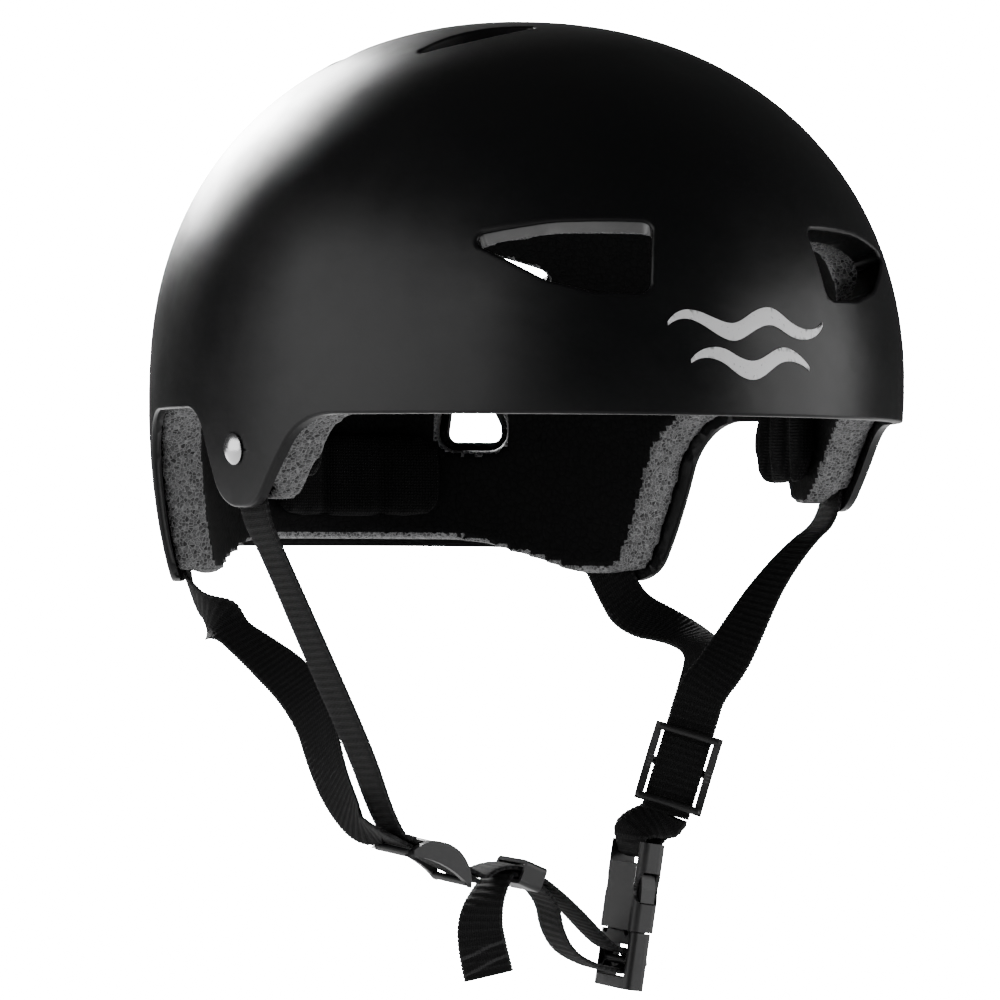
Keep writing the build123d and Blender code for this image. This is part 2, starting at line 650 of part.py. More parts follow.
def pads():
    layer = pad_layer()
    reach = SHELL_LENGTH
    made = {}
    front = Plane(origin=(0, -PAD_START, BROW_PAD[3]), x_dir=(1, 0, 0), z_dir=(0, -1, 0))
    made["brow_pad"] = pad(layer, front, *BROW_PAD[:3], reach)
    back = Plane(origin=(0, PAD_START, NAPE_PAD[3]), x_dir=(-1, 0, 0), z_dir=(0, 1, 0))
    made["nape_pad"] = pad(layer, back, *NAPE_PAD[:3], reach)
    up = Plane(origin=(0, CROWN_PAD_Y, PAD_START), x_dir=(1, 0, 0), z_dir=(0, 0, 1))
    made["crown_pad"] = pad(layer, up, *CROWN_PAD, reach)
    for name, side in (("right", -1), ("left", 1)):
        middle = (side * PAD_START, TEMPLE_PAD_Y * ALONG, TEMPLE_PAD[3])
        out = Plane(origin=middle, x_dir=(0, side, 0), z_dir=(side, 0, 0))
        made["temple_pad_" + name] = pad(layer, out, *TEMPLE_PAD[:3], reach)
    return made


# ---------------------------------------------------------------- hardware
def hardware_plane(origin, run, across):
    return Plane(origin=origin, x_dir=across, z_dir=run)


def block(x_size, y_size, z_low, z_high, x=0.0, y=0.0):
    """Box from z_low to z_high, centred at x, y."""
    return Location((x, y, (z_low + z_high) / 2)) * Box(x_size, y_size, z_high - z_low)


def divider(origin, run, across):
    """Two arched side rails, a bar at each end behind the webbing and one across the middle."""
    inside = WEB_WIDTH + 2 * SLOT_SIDE_CLEARANCE
    half = DIVIDER_LENGTH / 2
    reach = DIVIDER_BAR_OFFSET + DIVIDER_BAR / 2
    bend = DIVIDER_RAIL_HEIGHT - reach
    profile = make_face([
        ThreePointArc((-reach, -half), (reach, 0), (-reach, half)),
        ThreePointArc((-reach, half), (-bend, 0), (-reach, -half)),
    ])
    rail = extrude(Plane.XZ.location * profile, amount=DIVIDER_RAIL / 2, both=True)
    rail = Rot(0, 0, 90) * rail
    spread = (inside + DIVIDER_RAIL) / 2
    frame = Pos(spread, 0, 0) * rail
    frame += Pos(-spread, 0, 0) * rail
    end = half - DIVIDER_BAR / 2
    for z, offset_y in ((-end, -1), (0, 1), (end, -1)):
        bar = Location((0, offset_y * DIVIDER_BAR_OFFSET, z), (0, 90, 0))
        frame += bar * Cylinder(DIVIDER_BAR / 2, inside + DIVIDER_RAIL)
    return hardware_plane(origin, run, across).location * frame


def keeper():
    """Band round the two layers of chin webbing."""
    wide = WEB_WIDTH + 2 * SLOT_SIDE_CLEARANCE
    deep = 2 * WEB_THICKNESS + LAYER_GAP + 2 * TURN_CLEARANCE
    half = KEEPER_LENGTH / 2
    outside = RectangleRounded(wide + 2 * KEEPER_WALL, deep + 2 * KEEPER_WALL, KEEPER_WALL + 0.3)
    band = extrude(outside, amount=half, both=True)
    band -= extrude(RectangleRounded(wide, deep, KEEPER_WALL / 2), amount=half + 1, both=True)
    return hardware_plane(KEEPER, KEEPER_RUN, KEEPER_ACROSS).location * band


POCKET_WIDTH = BUCKLE_WIDTH - 2 * SOCKET_WALL
POCKET_THICKNESS = BUCKLE_THICKNESS - 2 * SOCKET_WALL


def buckle_socket():
    """Webbing bar on top, then a flat sleeve with a window in each side for the arms."""
    top_slot = -SOCKET_BAR - SOCKET_SLOT
    outline = RectangleRounded(BUCKLE_WIDTH, BUCKLE_THICKNESS, BUCKLE_CORNER)
    body = extrude(outline, amount=-SOCKET_LENGTH)
    slot_width = WEB_WIDTH + 2 * SLOT_SIDE_CLEARANCE
    body -= block(slot_width, BUCKLE_THICKNESS + 2, top_slot, 1)
    bar = Location((0, 0, SOCKET_BAR_Z), (0, 90, 0)) * Cylinder(SOCKET_BAR / 2, slot_width + 1)
    body += bar
    pocket_top = top_slot - SOCKET_WALL - 0.2
    body -= block(POCKET_WIDTH, POCKET_THICKNESS, -SOCKET_LENGTH - 1, pocket_top)
    for side in (-1, 1):
        window = block(4, POCKET_THICKNESS, SHOULDER_Z, WINDOW_TOP_Z, x=side * BUCKLE_WIDTH / 2)
        waist_z = (SHOULDER_Z + WINDOW_TOP_Z) / 2
        waist = Location((side * (BUCKLE_WIDTH / 2 + WAIST_DEPTH), 0, waist_z), (90, 0, 0))
        body -= window
        body -= waist * Cylinder((WINDOW_TOP_Z - SHOULDER_Z) / 2 + 1.2, 2 * BUCKLE_THICKNESS)
    return BUCKLE.location * body


def buckle_plug():
    """Tongue that guides it in the sleeve, a shoulder, and the ladder for the webbing."""
    gap = PLUG_GAP
    base_top = -SOCKET_LENGTH - gap
    wide = BUCKLE_WIDTH - PLUG_RELIEF
    thick = BUCKLE_THICKNESS - PLUG_THINNING
    body = extrude(RectangleRounded(wide, thick, BUCKLE_CORNER - 0.4), amount=LADDER_END - base_top)
    body = Pos(0, 0, base_top) * body
    inside = WEB_WIDTH + 2 * SLOT_SIDE_CLEARANCE
    body -= block(inside, BUCKLE_THICKNESS, LADDER_END + LADDER_LIP, LADDER_TOP)
    bar = Location((0, 0, LADDER_BAR_Z), (0, 90, 0)) * Cylinder(LADDER_BAR / 2, inside + 1)
    body += bar
    tongue_width = ARM_PIVOT_X - ARM_ROOT_RADIUS
    body += block(tongue_width, POCKET_THICKNESS - 2 * gap, base_top - 1, -TONGUE_END)
    for side in (-1, 1):
        seat = Location((side * ARM_PIVOT_X, 0, base_top), (90, 0, 0))
        body -= seat * Cylinder(ARM_ROOT_RADIUS + gap, BUCKLE_THICKNESS)
    return BUCKLE.location * body


def latch_arm(side):
    """Springy arm with a thumb pad that fills the window and rests on its lower edge."""
    root_z = -SOCKET_LENGTH - PLUG_GAP
    thick = POCKET_THICKNESS - 2 * PLUG_GAP
    root = Location((side * ARM_PIVOT_X, 0, root_z), (90, 0, 0)) * Cylinder(ARM_ROOT_RADIUS, thick)
    x0 = ARM_PIVOT_X
    inner = POCKET_WIDTH / 2 - PLUG_GAP
    outer = BUCKLE_WIDTH / 2 - PLUG_RELIEF / 2
    low = SHOULDER_Z + PLUG_GAP
    high = WINDOW_TOP_Z - 2 * PLUG_GAP
    slope = THUMB_PAD_SLOPE
    points = [
        (x0 - ARM_ROOT_RADIUS + slope, root_z + slope),
        (x0 + ARM_ROOT_RADIUS, root_z + slope),
        (inner, low - ARM_TIP / 2),
        (inner, low),
        (outer, low),
        (outer - slope, (low + high) / 2),
        (inner, high),
        (inner - ARM_TIP, high - ARM_TIP / 3),
        (inner - ARM_TIP, low - ARM_TIP / 4),
    ]
    face = make_face(Polyline(*[(side * x, 0, z) for x, z in points], close=True))
    arm = extrude(face, amount=thick / 2, both=True, dir=(0, 1, 0))
    return BUCKLE.location * (arm + root)


# ---------------------------------------------------------------- wave decal
def wave_band(x_low, x_high, middle, height):
    """Flat face of one wavy stripe."""
    count = 9
    upper, lower = [], []
    for i in range(count):
        x = x_low + (x_high - x_low) * i / (count - 1)
        swell = WAVE_SWELL * math.sin(2 * math.pi * (x - x_low) / WAVE_LENGTH)
        taper = height / 2 * math.sin(math.pi * (i + 0.6) / (count + 0.2))
        upper.append((x, middle + swell + taper))
        lower.append((x, middle + swell - taper))
    top = Spline(*upper)
    bottom = Spline(*lower)
    return make_face([top, Line(top @ 1, bottom @ 1), bottom, Line(bottom @ 0, top @ 0)])


def wave_decal():
    """Two printed wave stripes in the middle of the brow."""
    point = dome_y(0, WAVE_MIDDLE, 0, True)
    normal = dome_normal(point)
    plane = Plane(origin=point, x_dir=Vector(0, 0, 1).cross(normal), z_dir=normal)
    film = dome(-INK_HIGH) - dome(-INK_LOW)
    stripes = []
    for low, high, middle in WAVES:
        stripe = wave_band(low, high, middle, WAVE_HEIGHT)
        prism = plane.location * extrude(stripe, amount=12, both=True)
        stripes.append(film & prism)
    return stripes


# ---------------------------------------------------------------- write
def hole_through(strap, name):
    return strap - rivet_hole(RIVETS[name])


def build():
    nodes = {"outer_shell": outer_shell(), "foam_liner": foam_liner()}
    nodes.update(pads())
    for name, plane in RIVETS.items():
        nodes[name] = rivet(plane)
        nodes[name.replace("rivet", "washer")] = washer(plane)
    nodes["front_strap_right"] = hole_through(webbing(front_right_route()), "temple_rivet_right")
    nodes["front_strap_left"] = hole_through(webbing(front_left_route()), "temple_rivet_left")
    nodes["rear_strap_right"] = hole_through(webbing(rear_right_route()), "rear_rivet_right")
    nodes["rear_strap_left"] = hole_through(webbing(rear_left_route()), "rear_rivet_left")
    nodes["socket_loop"] = webbing(socket_loop_route())
    nodes["chin_strap"] = webbing(chin_route())
    nodes["strap_tail"] = webbing(tail_route())
    nodes["divider_right"] = divider(RIGHT_DIVIDER, RIGHT_RUN, RIGHT_ACROSS * -1)
    nodes["divider_left"] = divider(LEFT_DIVIDER, LEFT_RUN, LEFT_ACROSS * -1)
    nodes["strap_keeper"] = keeper()
    nodes["buckle_socket"] = buckle_socket()
    nodes["buckle_plug"] = buckle_plug()
    nodes["latch_arm_front"] = latch_arm(-1)
    nodes["latch_arm_back"] = latch_arm(1)
    upper, lower = wave_decal()
    nodes["decal_wave_upper"] = upper
    nodes["decal_wave_lower"] = lower
    return nodes


os.makedirs("parts", exist_ok=True)
for node, shape in build().items():
    export_step(shape, "parts/" + node + ".step")
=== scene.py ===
"""Half-shell water sports helmet with a webbing chin harness: the looks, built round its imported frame."""
import math
import bpy
import bmesh
from mathutils import Matrix, Vector


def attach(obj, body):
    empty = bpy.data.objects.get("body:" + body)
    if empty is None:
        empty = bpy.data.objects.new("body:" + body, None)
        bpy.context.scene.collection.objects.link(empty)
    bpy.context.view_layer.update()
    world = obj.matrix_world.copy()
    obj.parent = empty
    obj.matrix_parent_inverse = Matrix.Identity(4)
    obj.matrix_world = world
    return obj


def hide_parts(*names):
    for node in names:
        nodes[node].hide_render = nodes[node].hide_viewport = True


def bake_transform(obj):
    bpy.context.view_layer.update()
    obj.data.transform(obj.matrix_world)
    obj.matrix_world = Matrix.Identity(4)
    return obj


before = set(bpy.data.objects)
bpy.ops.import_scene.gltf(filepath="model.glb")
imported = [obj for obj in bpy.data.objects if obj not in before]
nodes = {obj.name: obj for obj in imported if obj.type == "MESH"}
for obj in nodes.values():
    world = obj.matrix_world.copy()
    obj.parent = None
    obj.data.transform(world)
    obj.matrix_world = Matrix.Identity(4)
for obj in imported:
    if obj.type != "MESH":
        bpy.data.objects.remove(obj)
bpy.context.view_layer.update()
bpy.ops.object.select_all(action="DESELECT")

# ------------------------------------------------------------------ camera
# A long lens a little over a metre away, level with the middle of the whole helmet and its
# harness, on the wearer's right of straight ahead and turned very slightly clockwise.
view_turn, camera_roll = math.radians(-27.9), math.radians(0.53)
view_side = Vector((math.cos(view_turn), math.sin(view_turn), 0))
view_back = Vector((math.sin(view_turn), -math.cos(view_turn), 0))
look_at = view_side * -0.00525 + Vector((0, 0, -0.0237))
camera_distance = 1.25
picture_width = 0.3052
bpy.ops.object.camera_add(location=look_at + view_back * camera_distance)
camera = bpy.context.object
camera.rotation_euler = (Matrix.Rotation(view_turn, 3, "Z") @ Matrix.Rotation(math.radians(90), 3, "X")
                         @ Matrix.Rotation(camera_roll, 3, "Z")).to_euler()
camera.data.sensor_width = 36
camera.data.lens = 36 * camera_distance / picture_width
camera.data.clip_end = 20
bpy.context.scene.camera = camera

# ------------------------------------------------------------------ harness webbing
# Fifteen-millimetre black polyester webbing, woven with a thick weft so that it has a rib every
# couple of millimetres. Four legs are riveted inside the shell; a front and a rear leg meet in
# a divider on each side, and the chin webbing closes under the chin with a buckle.
shell_half_width, shell_half_length = 0.107, 0.138
crown_rise, skirt_drop, widest_level = 0.1105, 0.150, 0.011
fullness, lean = 2.15, math.radians(4.1)
web_inset = 0.0044


def inside_shell(y, z, inset):
    """Half width of the shell's dome at a place along it and a height, in from its outside by inset."""
    along = y * math.cos(lean) + (z - widest_level) * math.sin(lean)
    up = -y * math.sin(lean) + (z - widest_level) * math.cos(lean)
    rise = crown_rise - inset if up > 0 else skirt_drop
    radius = (1 - (abs(up) / rise) ** fullness) ** (1 / fullness)
    return (shell_half_width - inset) * math.sqrt(radius ** 2 - (along / (shell_half_length - inset)) ** 2)


def shell_normal(place):
    """Outward direction of the dome at a place on it or just inside it."""
    y, z = place.y, place.z - widest_level
    along = y * math.cos(lean) + z * math.sin(lean)
    up = -y * math.sin(lean) + z * math.cos(lean)
    rise = crown_rise if up > 0 else skirt_drop
    push = math.hypot(place.x / shell_half_width, along / shell_half_length) ** (fullness - 2)
    out = push * place.x / shell_half_width ** 2
    out_along = push * along / shell_half_length ** 2
    out_up = math.copysign((abs(up) / rise) ** (fullness - 1) / rise, up)
    return Vector((out, out_along * math.cos(lean) - out_up * math.sin(lean),
                   out_along * math.sin(lean) + out_up * math.cos(lean))).normalized()


def riveted_end(places, side):
    """Webbing flat between shell and foam, at (y, z) places down the inside of the shell."""
    points = [Vector((side * inside_shell(y, z, web_inset), y, z)) for y, z in places]
    route = []
    for i, point in enumerate(points):
        along = points[min(i + 1, len(points) - 1)] - points[max(i - 1, 0)]
        way = along.cross(shell_normal(point)).normalized()
        route.append((point, way if way.y < 0 else -way))
    return route


right_divider = Vector((-0.042, -0.024, -0.1285))
right_run = Vector((0.90, 0.10, -0.42)).normalized()
right_across = Vector((0, -1, 0)) - right_run * Vector((0, -1, 0)).dot(right_run)
right_across.normalize()
right_up = right_across.cross(right_run)
left_divider = Vector((0.045, -0.022, -0.105))
left_run = Vector((-0.24, 0.14, -0.96)).normalized()
left_across = Vector((0.81, -0.47, -0.30)) - left_run * Vector((0.81, -0.47, -0.30)).dot(left_run)
left_across.normalize()
left_up = left_run.cross(left_across)
keeper_middle = Vector((-0.010, -0.022, -0.1355))
keeper_run = Vector((0.92, 0, -0.39)).normalized()
to_front = Vector((0, -1, 0))
keeper_up = to_front.cross(keeper_run)
buckle_top = Vector((0.0335, -0.018, -0.1275))
buckle_up = Vector((0.15, 0, 0.989)).normalized()
buckle_out = buckle_up.cross(Vector((0, 1, 0)))
layer = 0.0009


def at_right_divider(run, up):
    return right_divider + right_run * run + right_up * up


def at_left_divider(run, up):
    return left_divider + left_run * run + left_up * up


def at_keeper(run, up):
    return keeper_middle + keeper_run * run + keeper_up * up


def at_buckle(out, up):
    return buckle_top + buckle_out * out + buckle_up * up


temple_end = [(-0.0225, 0.0013), (-0.0225, -0.0097), (-0.0225, -0.0290)]
rear_end = [(0.1045, -0.010), (0.098, -0.018), (0.0855, -0.0355), (0.073, -0.053)]
front_right_route = riveted_end(temple_end, -1) + [
    ((-0.093, -0.023, -0.0385), (0.05, -1, 0.05)),
    ((-0.0785, -0.0235, -0.0685), (0.10, -1, 0.08)),
    ((-0.064, -0.0245, -0.0985), (0.10, -1, 0.08)),
    ((-0.0585, -0.025, -0.1135), right_across),
    (at_right_divider(-0.0140, layer), right_across),
    (at_right_divider(-0.0115, layer), right_across),
    (at_right_divider(-0.0005, layer), right_across),
]
rear_right_route = riveted_end(rear_end, -1) + [
    ((-0.072, 0.064, -0.061), (0.50, -0.65, -0.50)),
    ((-0.063, 0.050, -0.071), (0.65, -0.65, -0.40)),
    ((-0.057, 0.036, -0.0805), (0.55, -0.80, -0.20)),
    ((-0.057, 0.022, -0.089), (0.35, -0.93, 0.10)),
    ((-0.0605, 0.009, -0.0995), (0.20, -0.96, 0.20)),
    ((-0.0625, -0.004, -0.110), (0.10, -0.98, 0.20)),
    ((-0.0615, -0.016, -0.1195), (0, -1, 0.10)),
    (at_right_divider(-0.0170, -layer), right_across),
    (at_right_divider(-0.0120, -layer), right_across),
    (at_right_divider(0.0170, -layer), right_across),
]
front_left_route = riveted_end(temple_end, 1) + [
    ((0.088, -0.0225, -0.036), (0.05, -1, 0.05)),
    ((0.076, -0.0225, -0.049), (0.20, -0.95, -0.05)),
    ((0.067, -0.0235, -0.062), (0.45, -0.85, -0.20)),
    ((0.059, -0.025, -0.0735), (0.70, -0.60, -0.30)),
    (at_left_divider(-0.0250, layer), left_across),
    (at_left_divider(-0.0160, layer), left_across),
    (at_left_divider(0.0145, layer), left_across),
]
rear_left_route = riveted_end(rear_end, 1) + [
    ((0.077, 0.063, -0.0605), (0.68, -0.50, 0.52)),
    ((0.084, 0.049, -0.065), (0.85, -0.25, 0.40)),
    ((0.083, 0.031, -0.069), (0.93, -0.20, 0.15)),
    ((0.075, 0.011, -0.0725), (0.92, -0.30, -0.05)),
    ((0.0625, -0.009, -0.0765), (0.88, -0.40, -0.20)),
    (at_left_divider(-0.0250, -layer), left_across),
    (at_left_divider(-0.0160, -layer), left_across),
    (at_left_divider(0.0145, -layer), left_across),
]
socket_bar_up, socket_turn = -0.0013, 0.0029
near_across = (0.40, -0.85, -0.15)
socket_loop_route = [
    (at_left_divider(0.0145, layer), left_across),
    (at_left_divider(0.0157, layer), left_across),
    (at_buckle(0.0032, 0.0045), near_across),
    (at_buckle(socket_turn, socket_bar_up), to_front),
    (at_buckle(0.7 * socket_turn, socket_bar_up - 0.7 * socket_turn), to_front),
    (at_buckle(0, socket_bar_up - socket_turn), to_front),
    (at_buckle(-0.7 * socket_turn, socket_bar_up - 0.7 * socket_turn), to_front),
    (at_buckle(-socket_turn, socket_bar_up), to_front),
    (at_buckle(-0.0036, 0.0045), near_across),
    (at_left_divider(0.0157, -layer), left_across),
    (at_left_divider(0.0145, -layer), left_across),
]
ladder_bar_up, ladder_turn, ladder_off = -0.03635, 0.00315, -0.0012
chin_route = [
    (at_right_divider(-0.0005, layer), right_across),
    (at_right_divider(0.0140, layer), right_across),
    (at_right_divider(0.0185, layer), right_across),
    ((-0.021, -0.0222, -0.1332), to_front),
    (at_keeper(-0.0055, layer), to_front),
    (at_keeper(0, layer), to_front),
    (at_keeper(0.0055, layer), to_front),
    ((0.007, -0.0205, -0.1455), to_front),
    (at_buckle(0.0095, ladder_bar_up + ladder_turn + 0.0022), to_front),
    (at_buckle(0.0046, ladder_bar_up + ladder_turn - 0.0001), to_front),
    (at_buckle(ladder_off, ladder_bar_up + ladder_turn), to_front),
    (at_buckle(ladder_off - 0.7 * ladder_turn, ladder_bar_up + 0.7 * ladder_turn), to_front),
    (at_buckle(ladder_off - ladder_turn, ladder_bar_up + 0.0004), to_front),
    (at_buckle(ladder_off - ladder_turn, ladder_bar_up), to_front),
]
tail_route = [
    (at_buckle(ladder_off - ladder_turn, ladder_bar_up), to_front),
    (at_buckle(ladder_off - ladder_turn, ladder_bar_up - 0.0004), to_front),
    (at_buckle(ladder_off - 0.7 * ladder_turn, ladder_bar_up - 0.7 * ladder_turn), to_front),
    (at_buckle(ladder_off, ladder_bar_up - ladder_turn), to_front),
    (at_buckle(0.0060, ladder_bar_up - ladder_turn - 0.0001), to_front),
    ((0.014, -0.0195, -0.1635), to_front),
    ((0.0065, -0.020, -0.1595), to_front),
    ((0.002, -0.0205, -0.1525), to_front),
    ((0.0003, -0.0212, -0.145), to_front),
    (at_keeper(0.0056, -layer - 0.0006), to_front),
    (at_keeper(0, -layer), to_front),
    (at_keeper(-0.0060, -layer - 0.0003), to_front),
    ((-0.020, -0.023, -0.139), (0.25, -0.97, 0.05)),
    ((-0.024, -0.0245, -0.1455), (0.55, -0.80, 0.22)),
    ((-0.0252, -0.026, -0.154), (0.62, -0.60, 0.45)),
    ((-0.0225, -0.027, -0.165), (0.62, -0.42, 0.66)),
]
# The webbing's colour is near black with a painted highlight: lighter on the rib crests and along the edges,
# lightest on the sewn rows.
webbing_look = bpy.data.materials.new("webbing_black_polyester")
webbing_look.use_nodes = True
tree = webbing_look.node_tree
surface = tree.nodes["Principled BSDF"]
uv = tree.nodes.new("ShaderNodeUVMap")
uv.uv_map = "strap"
thread_map = tree.nodes.new("ShaderNodeMapping")
thread_map.inputs["Scale"].default_value = (1, 1, 1)
warp = tree.nodes.new("ShaderNodeTexWave")
warp.wave_type = "BANDS"
warp.bands_direction = "Y"
warp.inputs["Scale"].default_value = 420
warp.inputs["Distortion"].default_value = 1.2
warp.inputs["Detail"].default_value = 2
weft = tree.nodes.new("ShaderNodeTexWave")
weft.wave_type = "BANDS"
weft.bands_direction = "X"
weft.inputs["Scale"].default_value = 560
weft.inputs["Distortion"].default_value = 2.0
weft.inputs["Detail"].default_value = 2
fuzz = tree.nodes.new("ShaderNodeTexNoise")
fuzz.inputs["Scale"].default_value = 2600
fuzz.inputs["Detail"].default_value = 4
threads = tree.nodes.new("ShaderNodeMath")
threads.operation = "MULTIPLY"
rough_threads = tree.nodes.new("ShaderNodeMath")
rough_threads.operation = "ADD"
# The crest value is the painted highlight, multiplied by the fuzz noise to set the yarn colour.
crest_highlight = tree.nodes.new("ShaderNodeAttribute")
crest_highlight.attribute_name = "crest_highlight"
painted_crest_highlight = tree.nodes.new("ShaderNodeMath")
painted_crest_highlight.operation = "MULTIPLY"
yarn_and_highlight_colour = tree.nodes.new("ShaderNodeValToRGB")
yarn_and_highlight_colour.color_ramp.elements[0].position = 0.36
yarn_and_highlight_colour.color_ramp.elements[0].color = (0.0006, 0.0006, 0.0007, 1)
yarn_and_highlight_colour.color_ramp.elements[1].position = 0.72
yarn_and_highlight_colour.color_ramp.elements[1].color = (0.030, 0.030, 0.031, 1)
bump = tree.nodes.new("ShaderNodeBump")
bump.inputs["Strength"].default_value = 0.8
bump.inputs["Distance"].default_value = 0.00018
tree.links.new(uv.outputs["UV"], thread_map.inputs["Vector"])
tree.links.new(thread_map.outputs["Vector"], warp.inputs["Vector"])
tree.links.new(thread_map.outputs["Vector"], weft.inputs["Vector"])
tree.links.new(thread_map.outputs["Vector"], fuzz.inputs["Vector"])
tree.links.new(warp.outputs["Fac"], threads.inputs[0])
tree.links.new(weft.outputs["Fac"], threads.inputs[1])
tree.links.new(threads.outputs[0], rough_threads.inputs[0])
tree.links.new(fuzz.outputs["Fac"], rough_threads.inputs[1])
tree.links.new(rough_threads.outputs[0], bump.inputs["Height"])
tree.links.new(crest_highlight.outputs["Fac"], painted_crest_highlight.inputs[0])
tree.links.new(fuzz.outputs["Fac"], painted_crest_highlight.inputs[1])
tree.links.new(painted_crest_highlight.outputs[0], yarn_and_highlight_colour.inputs["Fac"])
tree.links.new(yarn_and_highlight_colour.outputs["Color"], surface.inputs["Base Color"])
tree.links.new(bump.outputs["Normal"], surface.inputs["Normal"])
surface.inputs["Roughness"].default_value = 0.8
surface.inputs["Specular IOR Level"].default_value = 0.22
surface.inputs["Sheen Weight"].default_value = 0.02
surface.inputs["Sheen Roughness"].default_value = 0.45

web_half = 0.0075
web_thick = 0.0006
rib_pitch = 0.00225
sewn_rows = (0.0035, 0.0080)
rib_height = 0.00026
step = 0.00032


def smooth_line(points):
    """Points along the smooth line that a route's points steer."""
    curve = bpy.data.curves.new("route", "CURVE")
    curve.dimensions = "3D"
    spline = curve.splines.new("NURBS")
    spline.points.add(len(points) - 1)
    for point, place in zip(spline.points, points):
        point.co = (*place, 1)
    spline.order_u = 3
    spline.use_endpoint_u = True
    spline.resolution_u = 40
    holder = bpy.data.objects.new("route", curve)
    mesh = bpy.data.meshes.new_from_object(holder)
    line = [v.co.copy() for v in mesh.vertices]
    bpy.data.objects.remove(holder)
    bpy.data.curves.remove(curve)
    bpy.data.meshes.remove(mesh)
    return line


def even_steps(line, across):
    """The line and the way across it, at even steps along it."""
    lengths = [0.0]
    for a, b in zip(line, line[1:]):
        lengths.append(lengths[-1] + (b - a).length)
    count = max(int(lengths[-1] / step), 4)
    places, ways, k = [], [], 0
    for i in range(count + 1):
        want = lengths[-1] * i / count
        while k < len(line) - 2 and lengths[k + 1] < want:
            k += 1
        span = max(lengths[k + 1] - lengths[k], 1e-9)
        share = min(max((want - lengths[k]) / span, 0), 1)
        places.append(line[k].lerp(line[k + 1], share))
        ways.append(across[k].lerp(across[k + 1], share).normalized())
    return places, ways, lengths[-1]


def strap(name, route, folded=0.0, ribs=True):
    """Ribbed webbing along a route. folded is the length of its far end that is doubled back."""
    middle = [Vector(p) for p, _ in route]
    beside = [Vector(p) + Vector(a).normalized() * 0.005 for p, a in route]
    line = smooth_line(middle)
    edge = smooth_line(beside)
    across = [(b - a).normalized() for a, b in zip(line, edge)]
    places, ways, length = even_steps(line, across)
    cross = [-1.0, -0.985, -0.93, -0.86, -0.7, -0.45, -0.15, 0.15, 0.45, 0.7, 0.86, 0.93, 0.985, 1.0]
    verts, crest_highlights, uvs, rings = [], [], [], []
    for i, (place, way) in enumerate(zip(places, ways)):
        ahead = places[min(i + 1, len(places) - 1)] - places[max(i - 1, 0)]
        ahead.normalize()
        way = (way - ahead * way.dot(ahead)).normalized()
        up = way.cross(ahead)
        along = length * i / (len(places) - 1)
        swell = 0.5 + 0.5 * math.cos(2 * math.pi * along / rib_pitch)
        picot = 0.00016 * math.cos(4 * math.pi * along / rib_pitch)
        doubled = web_thick if along > length - folded else 0
        from_end = length - along
        ring = []
        for face in (1, -1):
            for c in (cross if face > 0 else cross[::-1]):
                edge_fall = math.sqrt(max(1 - ((abs(c) - 0.86) / 0.14) ** 2, 0)) if abs(c) > 0.86 else 1
                rib = rib_height * swell * (0.35 if abs(c) > 0.84 else 1) if ribs else 0
                sewn = folded and min(abs(from_end - row - 0.002 * c) for row in sewn_rows) < 0.00045
                high = (web_thick + doubled + rib + (0.0002 if sewn else 0)) * edge_fall
                half = web_half + (picot if abs(c) > 0.9 else 0)
                verts.append(place + way * (half * c) + up * (face * high))
                # Crest value for the painted highlight: higher on rib crests, higher again at the edges,
                # highest on the sewn rows.
                crest_highlights.append(1.5 if sewn else 0.40 + 0.40 * swell + (0.45 if abs(c) > 0.88 else 0))
                uvs.append((along, half * c + (0.03 if face < 0 else 0)))
                ring.append(len(verts) - 1)
        rings.append(ring)
    faces = []
    for a, b in zip(rings, rings[1:]):
        for j in range(len(a)):
            k = (j + 1) % len(a)
            faces.append((a[j], a[k], b[k], b[j]))
    faces.append(tuple(rings[0][::-1]))
    faces.append(tuple(rings[-1]))
    mesh = bpy.data.meshes.new(name)
    mesh.from_pydata([tuple(v) for v in verts], [], faces)
    layer_uv = mesh.uv_layers.new(name="strap")
    for loop in mesh.loops:
        layer_uv.data[loop.index].uv = uvs[loop.vertex_index]
    shade = mesh.attributes.new("crest_highlight", "FLOAT", "POINT")
    shade.data.foreach_set("value", crest_highlights)
    piece = bpy.data.objects.new(name, mesh)
    bpy.context.scene.collection.objects.link(piece)
    edit = bmesh.new()
    edit.from_mesh(mesh)
    bmesh.ops.remove_doubles(edit, verts=edit.verts, dist=0.00001)
    bmesh.ops.recalc_face_normals(edit, faces=edit.faces)
    edit.to_mesh(mesh)
    edit.free()
    mesh.shade_smooth()
    mesh.materials.append(webbing_look)
    return piece, places, length


legs = [
    ("front_strap_right", front_right_route, -1),
    ("front_strap_left", front_left_route, 1),
    ("rear_strap_right", rear_right_route, -1),
    ("rear_strap_left", rear_left_route, 1),
]
for name, route, side in legs:
    piece, line, length = strap("web_" + name, route)
    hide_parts(name)
    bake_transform(piece)

loop_piece, _, _ = strap("web_socket_loop", socket_loop_route)
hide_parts("socket_loop")
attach(loop_piece, "chin_harness")
chin_piece, _, _ = strap("web_chin_strap", chin_route)
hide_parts("chin_strap")
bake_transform(chin_piece)
tail_piece, _, _ = strap("web_strap_tail", tail_route, folded=0.011)
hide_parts("strap_tail")
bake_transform(tail_piece)

